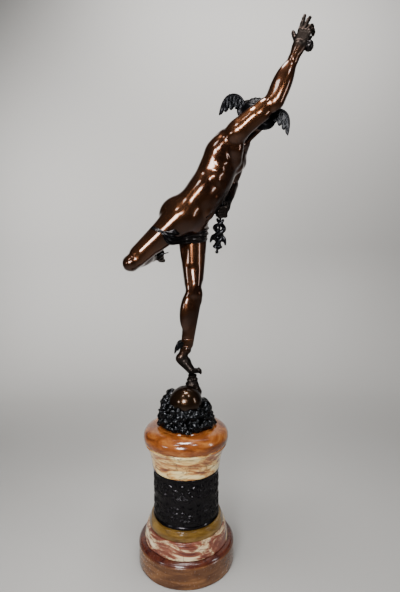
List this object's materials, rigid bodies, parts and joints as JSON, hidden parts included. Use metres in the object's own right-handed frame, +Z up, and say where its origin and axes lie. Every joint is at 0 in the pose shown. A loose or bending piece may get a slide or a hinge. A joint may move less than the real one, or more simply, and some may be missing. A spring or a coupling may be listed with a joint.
{
  "type": "bronze messenger statuette",
  "caption": "Winged messenger god poised on one foot, arm raised with a purse and staff lowered, on a rocky knoll and a turned stone plinth with a dark relief drum.",
  "frame": {"origin": "centre of the plinth's underside", "axes": "+Z up, +X the way the figure leans and reaches, -Y the side of its raised arm, which the picture is taken from"},
  "size_m": [0.2596, 0.1753, 0.7969],
  "materials": {
    "brown_marble": "polished red-brown marble",
    "veined_marble": "polished cream marble with red-brown veins",
    "olive_onyx": "polished olive-brown onyx",
    "drum_bronze": "near-black patinated bronze with low relief",
    "bell_marble": "polished cream marble with pink and yellow veins",
    "amber_onyx": "polished orange-brown onyx",
    "knoll_bronze": "near-black glossy patinated bronze",
    "figure_bronze": "glossy chocolate-brown patinated bronze",
    "staff_bronze": "near-black glossy patinated bronze"
  },
  "bodies": {
    "root": {"foot_disc": "brown_marble", "veined_band": "veined_marble", "olive_ring": "olive_onyx", "relief_drum": "drum_bronze", "veined_bell": "bell_marble", "onyx_cap": "amber_onyx", "rocky_knoll": "knoll_bronze", "messenger_figure": "figure_bronze", "herald_staff": "staff_bronze"}
  },
  "joints": []
}
